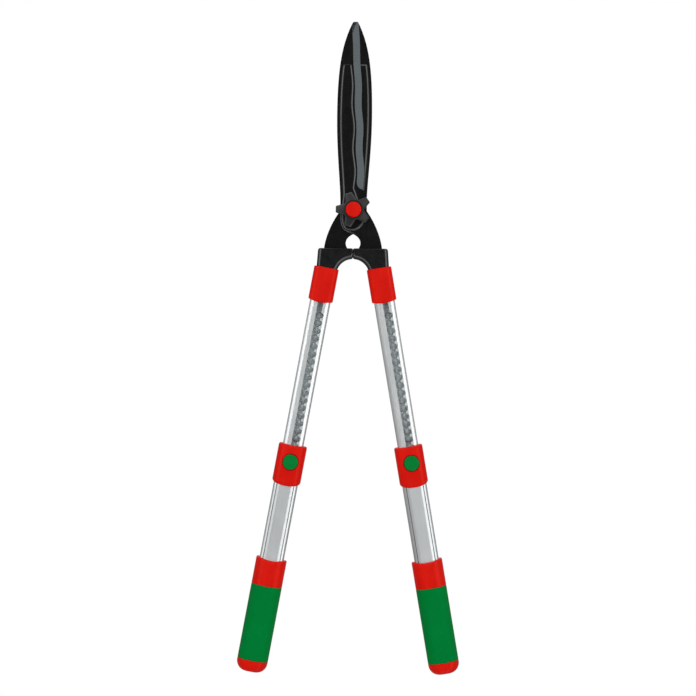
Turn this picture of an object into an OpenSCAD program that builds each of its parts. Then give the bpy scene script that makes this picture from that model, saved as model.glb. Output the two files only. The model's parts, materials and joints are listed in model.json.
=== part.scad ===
// Telescopic hedge shears: two wavy blades on one pivot, slotted sliding arms and soft grips.
// Frame: +Z towards the blade tips, +X to the right, -Y towards the front (knob and buttons).
// The origin is the apex of the hanging notch between the tangs, midway between the blades.
// Along an arm, "w" is the distance down the arm, measured from the height of the pivot.

/* [Blades] */
// Blade length from the pivot to the tip
blade_len = 240; // [230:1:250]
// Sheet thickness of each blade
blade_t = 3.2; // [2.6:0.1:3.6]
// Half of the play between the two blades
blade_gap = 0.1; // [0.05:0.05:0.2]
// Height of the embossed panel above the sheet
panel_rise = 0.6; // [0.4:0.1:0.8]
// Pitch of the waves along the cutting edge
wave_pitch = 56; // [40:1:70]
// Height of a wave, from its mean line
wave_amp = 0.9; // [0.5:0.1:1.5]
// Width of the ground bevel
bevel_w = 8.8; // [6:0.2:10]
// Flat left at the cutting edge under the bevel
edge_land = 0.6; // [0.4:0.1:1]

/* [Pivot] */
// Height of the pivot above the apex of the hanging notch
pivot_z = 30.7; // [30.7:0.1:30.8]
// Diameter of the bolt's journal in the front blade
journal_d = 10; // [9:0.5:11]
// Diameter of the bolt's threaded end
thread_d = 8; // [7:0.5:8]
// Radius to the end of a knob lobe
knob_r = 22.5; // [20:0.5:24]
// Number of lobes on the knob
knob_lobes = 5; // [5:1:6]
// Diameter of the knob's cap
cap_d = 19.8; // [18:0.2:20]

/* [Arms] */
// Angle of each arm from the centre line
arm_angle = 10; // [9.5:0.1:10.2]
// Distance of each arm from the centre line at pivot height
arm_root_x = 20.3; // [20:0.1:21]
// Width of the slotted upper tube
inner_w = 26.4; // [25:0.1:26.4]
// Depth of the slotted upper tube
inner_d = 16.6; // [15:0.1:16.6]
// Width of the lower tube
outer_w = 31; // [31:0.1:32]
// Depth of the lower tube
outer_d = 21; // [21:0.1:22]
// Wall of the upper tube
inner_wall = 1.5; // [1.2:0.1:1.6]
// Wall of the lower tube
outer_wall = 1.6; // [1.4:0.1:1.6]
// Distance between two locking notches
notch_pitch = 10; // [9:0.5:10]
// Number of locking notches
notch_count = 20; // [10:1:20]

/* [Lock] */
// Diameter of the push button
button_d = 19.4; // [18:0.2:19.6]
// Travel of the push button
button_travel = 3; // [2:0.1:3]
// Diameter of the lock pin
pin_d = 6.4; // [6:0.1:6.4]

/* [Handles] */
// Width of the handle
handle_w = 39.2; // [38:0.1:42]
// Depth of the handle
handle_d = 30; // [29:0.1:34]
// Thickness of the soft sleeve
sleeve_t = 2.3; // [2:0.1:2.5]

/* [Hidden] */
$fn = 64;
LEFT = -1;
RIGHT = 1;

// Colours
coat_black = [0.08, 0.09, 0.09];
plastic_black = [0.12, 0.13, 0.13];
collar_red = [0.80, 0.11, 0.08];
button_green = [0.08, 0.44, 0.18];
grip_green = [0.02, 0.46, 0.20];
bare_aluminium = [0.82, 0.84, 0.84];
zinc_steel = [0.62, 0.63, 0.65];
bronze = [0.72, 0.55, 0.30];
bush_grey = [0.35, 0.36, 0.37];

// Blade faces, as distances from the plane where the blades meet
sheet_face = blade_gap + blade_t;
panel_face = sheet_face + panel_rise;
tip_hw = 3;
spine_hw = 22.3;
neck_hw = 16.8;
tang_hw = 37;
tang_z = -49;
bevel_z0 = 27;
bevel_z1 = blade_len - 3;
panel_margin = 5;
panel_gap = 12;
panel_z0 = 22;
panel_z1 = 185;
boss_r = 16.5;
boss_z = -4;
// How far a raised part is sunk into the sheet below it, and how far a cut runs past a face
sunk = 0.2;
past = 1;

// Notch between the tangs, and the arch below the bumpers
notch_hw = 9.3;
notch_z = -42;
bumper_top_z = -49;
bumper_hw = 42.9;
bumper_d = 23;
bumper_gap = 0.2;
arch_r = 21;
arch_z = -83.4;

// Stations along an arm
tang_half = 9;
tang_end = 118;
collar_top = 75;
collar_bottom = 120;
collar_w = 31.5;
collar_d = 24;
collar_sag = 2.5;
tube_top = 82;
tube_bottom = 392;
rivet_w = [90, 107];
rivet_r = 2.5;
rivet_head_r = 4.5;
rivet_head_t = 1;
rivet_fit = 0.2;
slot_x0 = -2.7;
slot_x1 = 4.3;
slot_x = (slot_x0 + slot_x1) / 2;
slot_r = (slot_x1 - slot_x0) / 2;
slot_top = 114;
notch_first = 136.5;
scallop_x = 4.5;
button_w = notch_first + (notch_count - 1) * notch_pitch;
lock_top = button_w - 22.9;
lock_bottom = button_w + 31;
lock_seat = button_w + 13.5;
lock_width = 36.2;
lock_d = 29;
lock_round = 9.5;
tube_fit = 0.4;
lock_top_sag = 1.4;
lock_bottom_sag = 3.6;
lock_floor_y = -9.7;
button_fit = 0.4;
screw_w = lock_seat + 9;
screw_r = 1.7;
screw_head_r = 3.5;
screw_head_t = 1.9;
screw_sunk = 0.3;
handle_top = 450.5;
band_bottom = 487;
sleeve_bottom = 583.4;
handle_bottom = 598.5;
handle_top_sag = 4;
handle_bottom_sag = 1.4;
handle_end_round = 11;
outer_bottom = 585;
handle_round = 13;
running_fit = 0.05;
slide_fit = 0.3;

// Pivot stack, from the rear blade forwards
bush_r = journal_d / 2 + 1.6;
bolt_head_r = 10;
bolt_head_t = 3.5;
washer_y = -panel_face - 0.1;
washer_t = 1.2;
washer_r = 12;
spring_t = 1.4;
knob_back = washer_y - washer_t - spring_t - 0.1;
knob_body_t = 11;
knob_front = knob_back - knob_body_t;
knob_body_r = 13.5;
insert_r = 7;
cap_recess = 1.5;
cap_fit = 0.5;
cap_proud = 1.6;

// Points of a cubic curve
function bezier(p, n) = [for (i = [0:n]) let (t = i / n, s = 1 - t)
    s * s * s * p[0] + 3 * s * s * t * p[1] + 3 * s * t * t * p[2] + t * t * t * p[3]];
function reversed(list) = [for (i = [len(list) - 1:-1:0]) list[i]];
function mirrored(list) = [for (p = list) [-p[0], p[1]]];
// Radius of an arc that rises by sag over half a width
function bow_radius(half, sag) = (half * half + sag * sag) / (2 * sag);

// A point of the right arm in the plane of the blades: across is the offset from its axis
function arm_point(across, w) = [
    arm_root_x + w * sin(arm_angle) + across * cos(arm_angle),
    -w * cos(arm_angle) + across * sin(arm_angle)
];

// Cutting edge: a gently bowed line with waves that die out towards the tip
function wave(z) = wave_amp * (1 - pow(z / (blade_len + 10), 2)) * cos(360 * (z - 106) / wave_pitch);
function edge_line(z) = 13.2 - 0.012 * z - 0.000115 * z * z;
function edge_x(z) = edge_line(z) + wave(z);

// Spine of a blade, from the tip down to the neck
spine = concat(
    bezier([[tip_hw, blade_len], [17.1, 212.5], [spine_hw, 181.5], [spine_hw, 120]], 16),
    bezier([[spine_hw, 118], [spine_hw, 72], [neck_hw, 33], [neck_hw, 8]], 12)
);
// Outer side of the tang, from the neck down into the bumper
tang_outer = bezier([[neck_hw, -1], [24.6, -11.5], [34.6, -30], [tang_hw, tang_z]], 14);
// From the neck around the pivot to the apex of the notch, on the spine's side
tang_crossing = mirrored(bezier([[neck_hw, 8], [18.4, -24], [14.2, -27.2], [0, -pivot_z]], 14));
// The notch's side, from its apex down to the bumper
notch_side = concat(
    bezier([[0.5, -31], [4.5, -33], [notch_hw, -36.5], [notch_hw, notch_z]], 10),
    bezier([[notch_hw, -42.5], [notch_hw, -45], [8.3, -47.5], [6.8, -49]], 5)
);

// Outline of the front blade with its tang, clockwise from the tip
front_outline = concat(
    [[tip_hw - 0.5, blade_len]],
    [for (z = [bevel_z1:-2:bevel_z0]) [edge_x(z), z]],
    [[15, 20], [neck_hw, 8]],
    tang_outer,
    [arm_point(tang_half, 68), arm_point(tang_half, tang_end)],
    [arm_point(-tang_half, tang_end), arm_point(-tang_half, 72)],
    reversed(notch_side),
    reversed(tang_crossing),
    reversed(mirrored(spine))
);
// Embossed panel of the front blade
front_panel = concat(
    [for (z = [panel_z0:3:panel_z1]) [edge_line(z) + 1.5 * wave(z) - panel_gap, z]],
    [for (p = spine) if (p[1] > panel_z0 && p[1] < panel_z1) [panel_margin - p[0], p[1]]]
);

// Placing
module at_pivot() {
    translate([0, 0, pivot_z]) children();
}
module on_arm(side) {
    at_pivot() translate([side * arm_root_x, 0, 0]) rotate([0, -side * arm_angle, 0]) children();
}
// Flips what is drawn for the front blade and the right arm to the rear blade and the left arm
module swap(side) {
    mirror([side == LEFT ? 1 : 0, 0, 0]) mirror([0, side == LEFT ? 1 : 0, 0]) children();
}
// Turns an outline in the plane of the blades into a plate between two depths
module slab(y0, y1) {
    translate([0, y1, 0]) rotate([90, 0, 0]) linear_extrude(y1 - y0) children();
}
// Turns a section into a bar between two stations of an arm
module along(w0, w1) {
    translate([0, 0, -w1]) linear_extrude(w1 - w0) children();
}
// A round rod from front to back through a station of an arm
module rod(w, x, y0, y1, r) {
    translate([x, y1, -w]) rotate([90, 0, 0]) cylinder(r = r, h = y1 - y0);
}
// A round disc on the pivot's axis
module disc(y0, y1, r) {
    rod(0, 0, y0, y1, r);
}
module soft_rect(w, d, r) {
    square([w - 2 * r, d], center = true);
    square([w, d - 2 * r], center = true);
    for (x = [-1, 1], y = [-1, 1])
        translate([x * (w / 2 - r), y * (d / 2 - r)]) circle(r);
}

// Blades
// Wedge that grinds the bevel off the front of the blade
module bevel_cutter() {
    stations = [for (z = [bevel_z0:3:bevel_z1]) z];
    count = len(stations);
    reach = 3;
    skin = 0.1;
    slope = (blade_t - edge_land) / bevel_w;
    function width(z) = bevel_w * min(1, (z - bevel_z0 + 1) / 6, (bevel_z1 - z + 8) / 20);
    points = [for (z = stations) each [
        [edge_x(z) - width(z) - skin / slope, -sheet_face - skin, z],
        [edge_x(z) + reach, -sheet_face + slope * (bevel_w + reach), z],
        [edge_x(z) + reach, -sheet_face - past, z],
        [edge_x(z) - width(z) - skin / slope, -sheet_face - past, z]
    ]];
    sides = [for (i = [0:count - 2], k = [0:3]) let (a = 4 * i + k, b = 4 * i + (k + 1) % 4)
        each [[a, b, a + 4], [b, b + 4, a + 4]]];
    last = 4 * (count - 1);
    polyhedron(points, concat([[3, 2, 1, 0]], sides, [[last, last + 1, last + 2, last + 3]]));
}
module blade_plate() {
    slab(-sheet_face, -blade_gap) polygon(front_outline);
}
module blade_blank() {
    difference() {
        union() {
            blade_plate();
            slab(-panel_face, -sheet_face + sunk) polygon(front_panel);
            translate([0, 0, boss_z]) disc(-panel_face, -sheet_face + sunk, boss_r);
        }
        slab(-blade_gap - panel_rise, 0) polygon(front_panel);
        bevel_cutter();
    }
}
module tang(side) {
    at_pivot() swap(side) blade_plate();
}
module rivet_holes(side, y0, y1, r) {
    on_arm(side) for (w = rivet_w) rod(w, 0, y0, y1, r);
}
module front_blade() {
    color(coat_black) difference() {
        at_pivot() difference() {
            blade_blank();
            disc(-panel_face - past, 0, bush_r);
        }
        rivet_holes(RIGHT, -panel_face, panel_face, rivet_r);
    }
}
module rear_blade() {
    color(coat_black) difference() {
        at_pivot() difference() {
            swap(LEFT) blade_blank();
            slab(0, panel_face + past) square(journal_d, center = true);
        }
        rivet_holes(LEFT, -panel_face, panel_face, rivet_r);
    }
}

// Pivot hardware
module pivot_bolt() {
    head_rim_t = 1;
    head_dome_r = bow_radius(bolt_head_r, bolt_head_t - head_rim_t);
    end_gap = 1;
    color(zinc_steel) at_pivot() {
        intersection() {
            disc(panel_face, panel_face + bolt_head_t, bolt_head_r);
            translate([0, panel_face + bolt_head_t - head_dome_r, 0]) sphere(head_dome_r);
        }
        slab(blade_gap, panel_face) square(journal_d, center = true);
        disc(washer_y, blade_gap, journal_d / 2);
        disc(knob_front + cap_recess + end_gap, washer_y, thread_d / 2);
    }
}
module pivot_bush() {
    color(bronze) at_pivot() difference() {
        disc(-panel_face, -blade_gap, bush_r);
        disc(-panel_face - past, 0, journal_d / 2 + running_fit);
    }
}
module thrust_washer() {
    color(zinc_steel) at_pivot() difference() {
        disc(washer_y - washer_t, washer_y, washer_r);
        disc(washer_y - washer_t - past, washer_y + past, thread_d / 2);
    }
}
// A conical spring washer, wide end against the thrust washer
module spring_washer() {
    hole_r = thread_d / 2 + slide_fit;
    rim_r = hole_r + 5.5;
    sheet = 0.7;
    color(zinc_steel) at_pivot() translate([0, washer_y - washer_t, 0]) rotate([90, 0, 0])
        rotate_extrude() polygon([
            [hole_r, spring_t - sheet], [rim_r, 0], [rim_r, sheet], [hole_r, spring_t]
        ]);
}

// Star knob
lobe_phase = 35;
module lobe() {
    centre_hw = 8;
    root_hw = 5.8;
    end_hw = 4.3;
    corner = 1.2;
    side_hw = end_hw + 0.2;
    polygon([
        [0, -centre_hw], [knob_body_r, -root_hw],
        [knob_r - corner, -side_hw], [knob_r, corner - end_hw],
        [knob_r, end_hw - corner], [knob_r - corner, side_hw],
        [knob_body_r, root_hw], [0, centre_hw]
    ]);
}
module star_knob() {
    lobe_back = knob_back - 1.5;
    lobe_front = knob_front + 2;
    color(plastic_black) at_pivot() difference() {
        union() {
            disc(knob_front, knob_back, knob_body_r);
            slab(lobe_front, lobe_back)
                for (k = [0:knob_lobes - 1]) rotate(lobe_phase + 360 * k / knob_lobes) lobe();
        }
        disc(knob_front - past, knob_front + cap_recess, cap_d / 2 + cap_fit);
        slab(knob_front, knob_back + past) circle(insert_r, $fn = 6);
    }
}
module knob_insert() {
    color(bronze) at_pivot() difference() {
        slab(knob_front + cap_recess, knob_back) circle(insert_r, $fn = 6);
        disc(knob_front, knob_back + past, thread_d / 2 + running_fit);
    }
}
module knob_cap() {
    cap_front = knob_front - cap_proud;
    chamfer = 0.8;
    color(collar_red) at_pivot() translate([0, knob_front + cap_recess, 0]) rotate([90, 0, 0])
        rotate_extrude() polygon([
            [0, 0], [cap_d / 2, 0], [cap_d / 2, cap_recess + cap_proud - chamfer],
            [cap_d / 2 - chamfer, cap_recess + cap_proud], [0, cap_recess + cap_proud]
        ]);
}

// Bumper that sleeves the foot of a tang and stops the arms against each other
module bumper(side) {
    inner_foot = arm_point(-14.9, collar_top);
    outer_foot = arm_point(12.9, collar_top);
    corner = 2.5;
    rounded_corner = [for (a = [90:-15:0])
        [bumper_hw - corner * (1 - cos(a)), bumper_top_z - corner * (1 - sin(a))]];
    outline = concat([[bumper_gap, bumper_top_z]], rounded_corner,
        [outer_foot, inner_foot, [bumper_gap, inner_foot[1]]]);
    color(plastic_black) difference() {
        at_pivot() swap(side) difference() {
            slab(-bumper_d / 2, bumper_d / 2) polygon(outline);
            translate([0, 0, arch_z]) disc(-bumper_d, bumper_d, arch_r);
        }
        tang(side);
    }
}
module top_collar(side) {
    radius = bow_radius(collar_w / 2, collar_sag);
    color(collar_red) difference() {
        on_arm(side) intersection() {
            along(collar_top, collar_bottom) soft_rect(collar_w, collar_d, 6.5);
            rod(collar_bottom - radius, 0, -collar_d, collar_d, radius);
        }
        on_arm(side) along(tube_top, collar_bottom + past) inner_section();
        rivet_holes(side, -rivet_end_y - rivet_fit, rivet_end_y + rivet_fit, rivet_head_r + slide_fit);
        tang(side);
    }
}
rivet_end_y = inner_d / 2 + rivet_head_t;
module tang_rivet(side, w) {
    color(zinc_steel) on_arm(side) {
        rod(w, 0, -inner_d / 2, inner_d / 2, rivet_r);
        rod(w, 0, -rivet_end_y, -inner_d / 2, rivet_head_r);
        rod(w, 0, inner_d / 2, rivet_end_y, rivet_head_r);
    }
}

// Upper tube: its front wall carries the slot with the locking notches
inner_round = 5.6;
module inner_section() {
    soft_rect(inner_w, inner_d, inner_round);
}
module inner_bore() {
    soft_rect(inner_w - 2 * inner_wall, inner_d - 2 * inner_wall, inner_round - inner_wall);
}
module inner_tube(side) {
    front = -inner_d / 2 - past;
    behind_wall = -inner_d / 2 + inner_wall + past;
    color(bare_aluminium) difference() {
        on_arm(side) difference() {
            along(tube_top, tube_bottom) difference() {
                inner_section();
                inner_bore();
            }
            translate([slot_x0, front, -button_w])
                cube([2 * slot_r, behind_wall - front, button_w - slot_top]);
            rod(button_w, slot_x, front, behind_wall, slot_r);
            for (k = [0:notch_count - 1])
                rod(notch_first + k * notch_pitch, scallop_x, front, behind_wall, slot_r);
        }
        rivet_holes(side, -inner_d, inner_d, rivet_r);
    }
}
// Plastic bush plugged into the upper tube's lower end, a sliding fit in the lower tube
module guide_bush(side) {
    plug_top = tube_bottom - 16;
    flange_bottom = tube_bottom + 5;
    flange_w = outer_w - 2 * outer_wall - 2 * slide_fit;
    flange_d = outer_d - 2 * outer_wall - 2 * slide_fit;
    hole_w = 17;
    hole_d = 8;
    hole_round = 3;
    color(bush_grey) on_arm(side) difference() {
        union() {
            along(plug_top, tube_bottom) inner_bore();
            along(tube_bottom, flange_bottom) soft_rect(flange_w, flange_d, outer_round - outer_wall);
        }
        along(plug_top - past, flange_bottom + past) soft_rect(hole_w, hole_d, hole_round);
    }
}

// Lower tube, with a fine groove on both sides of its flat faces
outer_round = 6.5;
module outer_section() {
    soft_rect(outer_w, outer_d, outer_round);
}
module outer_tube(side) {
    groove_x = 9.5;
    groove_w = 0.8;
    groove_depth = 0.4;
    color(bare_aluminium) on_arm(side) difference() {
        along(lock_seat, outer_bottom) difference() {
            outer_section();
            soft_rect(outer_w - 2 * outer_wall, outer_d - 2 * outer_wall, outer_round - outer_wall);
        }
        along(lock_bottom, handle_top) for (x = [-1, 1], y = [-1, 1])
            translate([x * groove_x, y * outer_d / 2]) square([groove_w, 2 * groove_depth], center = true);
        rod(screw_w, 0, 0, outer_d, screw_r);
    }
}
module lock_collar(side) {
    top_r = bow_radius(lock_width / 2, lock_top_sag);
    bottom_r = bow_radius(lock_width / 2, lock_bottom_sag);
    color(collar_red) on_arm(side) difference() {
        intersection() {
            along(lock_top, lock_bottom) soft_rect(lock_width, lock_d, lock_round);
            rod(lock_bottom - bottom_r, 0, -lock_d, lock_d, bottom_r);
        }
        rod(lock_top + lock_top_sag - top_r, 0, -lock_d, lock_d, top_r);
        along(lock_top - past, lock_seat)
            soft_rect(inner_w + 2 * tube_fit, inner_d + 2 * tube_fit, inner_round + tube_fit);
        along(lock_seat, lock_bottom + past) outer_section();
        rod(button_w, slot_x, -lock_d, lock_floor_y, button_d / 2 + button_fit);
        rod(button_w, slot_x, lock_floor_y - past, 0, pin_d / 2 + button_fit);
        rod(screw_w, 0, 0, lock_d, screw_r);
        rod(screw_w, 0, screw_back_y - screw_head_t, lock_d, screw_head_r);
    }
}
// Screw through the back of the lock collar into the lower tube's wall
screw_back_y = lock_d / 2 - screw_sunk;
module collar_screw(side) {
    recess_l = 4;
    recess_w = 0.9;
    recess_t = 0.8;
    color(zinc_steel) on_arm(side) difference() {
        union() {
            rod(screw_w, 0, outer_d / 2 - outer_wall, screw_back_y - recess_t, screw_r);
            rod(screw_w, 0, screw_back_y - screw_head_t, screw_back_y, screw_head_r);
        }
        for (turn = [0, 90]) translate([0, screw_back_y, -screw_w]) rotate([0, turn, 0])
            cube([recess_l, 2 * recess_t, recess_w], center = true);
    }
}

// Push button, lock pin and spring, along Y through the front of the lock collar
button_wall = 1.6;
button_face_y = -lock_d / 2 - 1.8;
button_cup_y = button_face_y + button_wall;
button_skirt_y = lock_floor_y - button_travel - 0.1;
module button(side) {
    color(button_green) on_arm(side) difference() {
        rod(button_w, slot_x, button_face_y, button_skirt_y, button_d / 2);
        rod(button_w, slot_x, button_cup_y, button_skirt_y + past, button_d / 2 - button_wall);
    }
}
// The pin's head behind the tube's front wall keeps the button from coming out
module lock_pin(side) {
    head_front = -inner_d / 2 + inner_wall + slide_fit;
    head_t = 1.2;
    head_r = 5;
    color(zinc_steel) on_arm(side) {
        rod(button_w, slot_x, button_cup_y, head_front, pin_d / 2);
        rod(button_w, slot_x, head_front, head_front + head_t, head_r);
    }
}
module button_spring(side) {
    mean_r = 5.6;
    wire_r = 0.4;
    turns = 3.5;
    steps = 16;
    wire_sides = 6;
    end_gap = 0.1;
    y0 = button_cup_y + wire_r + end_gap;
    y1 = lock_floor_y - wire_r - end_gap;
    rings = round(turns * steps) + 1;
    points = [for (i = [0:rings - 1], k = [0:wire_sides - 1])
        let (a = 360 * i / steps, b = 360 * k / wire_sides, r = mean_r + wire_r * cos(b))
        [r * cos(a), y0 + (y1 - y0) * i / (rings - 1) + wire_r * sin(b), r * sin(a)]];
    skin = [for (i = [0:rings - 2], k = [0:wire_sides - 1])
        let (a = i * wire_sides + k, b = i * wire_sides + (k + 1) % wire_sides)
        each [[a, a + wire_sides, b], [b, a + wire_sides, b + wire_sides]]];
    first_end = [for (k = [0:wire_sides - 1]) k];
    last_end = [for (k = [wire_sides - 1:-1:0]) (rings - 1) * wire_sides + k];
    color(zinc_steel) on_arm(side) translate([slot_x, 0, -button_w])
        polyhedron(points, concat([first_end], skin, [last_end]));
}

// Handle: hard core over the lower tube, with a soft sleeve between its band and its end
module handle_core(side) {
    top_r = bow_radius(handle_w / 2, handle_top_sag);
    bottom_r = bow_radius(handle_w / 2, handle_bottom_sag);
    color(collar_red) on_arm(side) difference() {
        intersection() {
            union() {
                along(handle_top, band_bottom) soft_rect(handle_w, handle_d, handle_round);
                along(band_bottom, sleeve_bottom) sleeve_seat();
                along(sleeve_bottom, handle_bottom) soft_rect(handle_w, handle_d, handle_round);
            }
            rod(handle_bottom - bottom_r, 0, -handle_d, handle_d, bottom_r);
            slab(-handle_d, handle_d) handle_front_view();
        }
        rod(handle_top + handle_top_sag - top_r, 0, -handle_d, handle_d, top_r);
        along(handle_top - past, outer_bottom) outer_section();
    }
}
// Rounds the corners at the end of the handle, and runs past its top
module handle_front_view() {
    length = handle_bottom - handle_top + 2 * handle_end_round;
    translate([0, length / 2 - handle_bottom]) soft_rect(handle_w, length, handle_end_round);
}
module sleeve_seat() {
    soft_rect(handle_w - 2 * sleeve_t, handle_d - 2 * sleeve_t, handle_round - sleeve_t);
}
module grip_sleeve(side) {
    color(grip_green) on_arm(side) along(band_bottom, sleeve_bottom) difference() {
        soft_rect(handle_w, handle_d, handle_round);
        sleeve_seat();
    }
}

rear_blade();
pivot_bolt();
bumper(LEFT);  // left_bumper
tang_rivet(LEFT, rivet_w[0]);  // left_tang_rivet_1
tang_rivet(LEFT, rivet_w[1]);  // left_tang_rivet_2
top_collar(LEFT);  // left_top_collar
inner_tube(LEFT);  // left_inner_tube
guide_bush(LEFT);  // left_guide_bush
thrust_washer();
spring_washer();
front_blade();
pivot_bush();
bumper(RIGHT);  // right_bumper
tang_rivet(RIGHT, rivet_w[0]);  // right_tang_rivet_1
tang_rivet(RIGHT, rivet_w[1]);  // right_tang_rivet_2
top_collar(RIGHT);  // right_top_collar
inner_tube(RIGHT);  // right_inner_tube
guide_bush(RIGHT);  // right_guide_bush
star_knob();
knob_insert();
knob_cap();
outer_tube(LEFT);  // left_outer_tube
lock_collar(LEFT);  // left_lock_collar
collar_screw(LEFT);  // left_collar_screw
handle_core(LEFT);  // left_handle_core
grip_sleeve(LEFT);  // left_grip_sleeve
button_spring(LEFT);  // left_button_spring
outer_tube(RIGHT);  // right_outer_tube
lock_collar(RIGHT);  // right_lock_collar
collar_screw(RIGHT);  // right_collar_screw
handle_core(RIGHT);  // right_handle_core
grip_sleeve(RIGHT);  // right_grip_sleeve
button_spring(RIGHT);  // right_button_spring
button(LEFT);  // left_button
lock_pin(LEFT);  // left_lock_pin
button(RIGHT);  // right_button
lock_pin(RIGHT);  // right_lock_pin
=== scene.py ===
"""Looks of the telescopic hedge shears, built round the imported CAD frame.

Lengths are in millimetres and become metres when a mesh is made. Pieces of an arm are drawn in
that arm's own frame: x across it, y from front to back, and -z down the arm from pivot height.
"""

import json
import math
from collections import namedtuple

import bmesh
import bpy
import numpy as np
from mathutils import Matrix, Vector


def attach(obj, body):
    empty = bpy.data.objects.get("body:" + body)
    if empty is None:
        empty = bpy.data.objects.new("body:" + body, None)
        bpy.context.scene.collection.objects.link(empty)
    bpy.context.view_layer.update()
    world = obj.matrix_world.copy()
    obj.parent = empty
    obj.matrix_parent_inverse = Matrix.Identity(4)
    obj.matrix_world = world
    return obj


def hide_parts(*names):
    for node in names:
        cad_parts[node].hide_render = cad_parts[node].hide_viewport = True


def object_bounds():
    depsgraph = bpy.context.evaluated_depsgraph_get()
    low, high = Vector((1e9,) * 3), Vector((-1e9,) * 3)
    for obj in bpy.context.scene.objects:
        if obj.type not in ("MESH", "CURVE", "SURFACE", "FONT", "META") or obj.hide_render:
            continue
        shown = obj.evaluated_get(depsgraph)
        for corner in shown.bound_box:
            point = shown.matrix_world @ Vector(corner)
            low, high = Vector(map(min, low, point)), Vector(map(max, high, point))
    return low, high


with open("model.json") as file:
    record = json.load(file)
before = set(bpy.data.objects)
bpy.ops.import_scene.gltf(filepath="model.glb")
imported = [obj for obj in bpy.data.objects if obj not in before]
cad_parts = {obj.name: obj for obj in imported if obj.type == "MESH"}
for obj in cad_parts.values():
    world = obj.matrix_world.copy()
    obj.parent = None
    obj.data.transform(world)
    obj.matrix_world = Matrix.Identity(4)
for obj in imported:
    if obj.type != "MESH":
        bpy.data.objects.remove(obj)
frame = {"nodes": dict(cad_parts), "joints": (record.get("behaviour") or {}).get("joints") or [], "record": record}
cad_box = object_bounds()

MM = 0.001
SIDES = {"left": -1, "right": 1}
JOINTS = {joint["name"]: joint for joint in frame["joints"]}
MOUNTS = {mount["name"]: mount for mount in frame["record"]["mounts"]}


# Places, worked out from the frame
def pivot_place():
    """The frame of the pivot: origin on its axis, between the blades."""
    return Matrix.Translation(JOINTS["blade_pivot"]["pos_m"])


def arm_place(side):
    """The frame of an arm: origin on its axis at pivot height, +z up along the arm."""
    up = Vector(JOINTS[f"{side}_telescope"]["axis"]).normalized()
    across = Vector((up.z, 0, -up.x))
    grip = Vector(MOUNTS[f"{side}_grip"]["pos_m"])
    root = grip + up * (pivot_place().translation.z - grip.z) / up.z
    columns = Matrix((across, (0, 1, 0), up)).transposed()
    return Matrix.Translation(root) @ columns.to_4x4()


PIVOT = pivot_place()
ARM = {side: arm_place(side) for side in SIDES}


def node_box(node, place):
    """Lowest and highest corner of a CAD node, seen in a local frame, in mm."""
    inverse = place.inverted()
    points = np.array([inverse @ v.co for v in frame["nodes"][node].data.vertices])
    return points.min(0) / MM, points.max(0) / MM


def round_node(node, side):
    """Axis (x, z), radius, front and back of a round CAD node, in its arm's frame."""
    low, high = node_box(node, ARM[side])
    return (low[0] + high[0]) / 2, (low[2] + high[2]) / 2, (high[0] - low[0]) / 2, low[1], high[1]


# Meshes
def make_piece(name, points, faces, place, painted_light=None):
    """An object from points in mm in a local frame; painted_light is the share of painted highlight or painted
    shade at each point.
    """
    mesh = bpy.data.meshes.new(name)
    mesh.from_pydata([tuple(p) for p in np.asarray(points) * MM], [], faces)
    if painted_light is not None:
        rubbed = mesh.attributes.new("painted_light", "FLOAT", "POINT")
        rubbed.data.foreach_set("value", np.asarray(painted_light, np.float32))
    grid = bmesh.new()
    grid.from_mesh(mesh)
    bmesh.ops.remove_doubles(grid, verts=grid.verts, dist=1e-6)
    bmesh.ops.recalc_face_normals(grid, faces=grid.faces)
    if grid.calc_volume(signed=True) < 0:
        bmesh.ops.reverse_faces(grid, faces=grid.faces)
    grid.to_mesh(mesh)
    grid.free()
    piece = bpy.data.objects.new(name, mesh)
    piece.matrix_world = place
    bpy.context.scene.collection.objects.link(piece)
    return piece


def loft(name, rings, place, closed=False, painted_light=None):
    """A skin over rings of as many points each: closed into a ring, or with both ends capped."""
    count = len(rings[0])
    bands = len(rings) if closed else len(rings) - 1
    faces = []
    for i in range(bands):
        here, there = i * count, (i + 1) % len(rings) * count
        for k in range(count):
            after = (k + 1) % count
            faces.append((here + k, here + after, there + after, there + k))
    if not closed:
        last = (len(rings) - 1) * count
        faces.append(tuple(range(count))[::-1])
        faces.append(tuple(range(last, last + count)))
    return make_piece(name, np.vstack(rings), faces, place, painted_light)


def smooth(t):
    """A smooth step from 0 to 1."""
    t = np.clip(t, 0, 1)
    return t * t * (3 - 2 * t)


def quarter(steps):
    """Shares (inset, advance) of a rounded edge, from the end face out to the side."""
    angles = np.linspace(0, math.pi / 2, steps + 1)
    return [(1 - math.sin(a), 1 - math.cos(a)) for a in angles]


ARC_STEPS = 9
WIDE_STEPS, DEEP_STEPS = 8, 4


def soft_rect(half_w, half_d, r):
    """Points of a rounded rectangle in the plane of a section, in order round it."""
    r = min(r, half_w - 0.01, half_d - 0.01)
    corners = []
    for k, (sx, sy) in enumerate(((1, 1), (-1, 1), (-1, -1), (1, -1))):
        angles = math.pi / 2 * (k + np.linspace(0, 1, ARC_STEPS + 1))
        corners.append(np.column_stack([
            sx * (half_w - r) + r * np.cos(angles), sy * (half_d - r) + r * np.sin(angles)]))
    points = []
    for k, corner in enumerate(corners):
        start, end = corner[-1], corners[(k + 1) % 4][0]
        steps = WIDE_STEPS if k % 2 == 0 else DEEP_STEPS
        points.append(corner)
        points.append(np.array([start + (end - start) * i / steps for i in range(1, steps)]))
    return np.vstack(points)


def section_ring(section, inset_x, inset_y, station):
    """A ring of a tube-like piece: section is (half width, half depth, corner radius)."""
    half_w, half_d, r = section
    xy = soft_rect(half_w - inset_x, half_d - inset_y, max(r - min(inset_x, inset_y), 0.4))
    return np.column_stack([xy, -station(xy[:, 0])])


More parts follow.
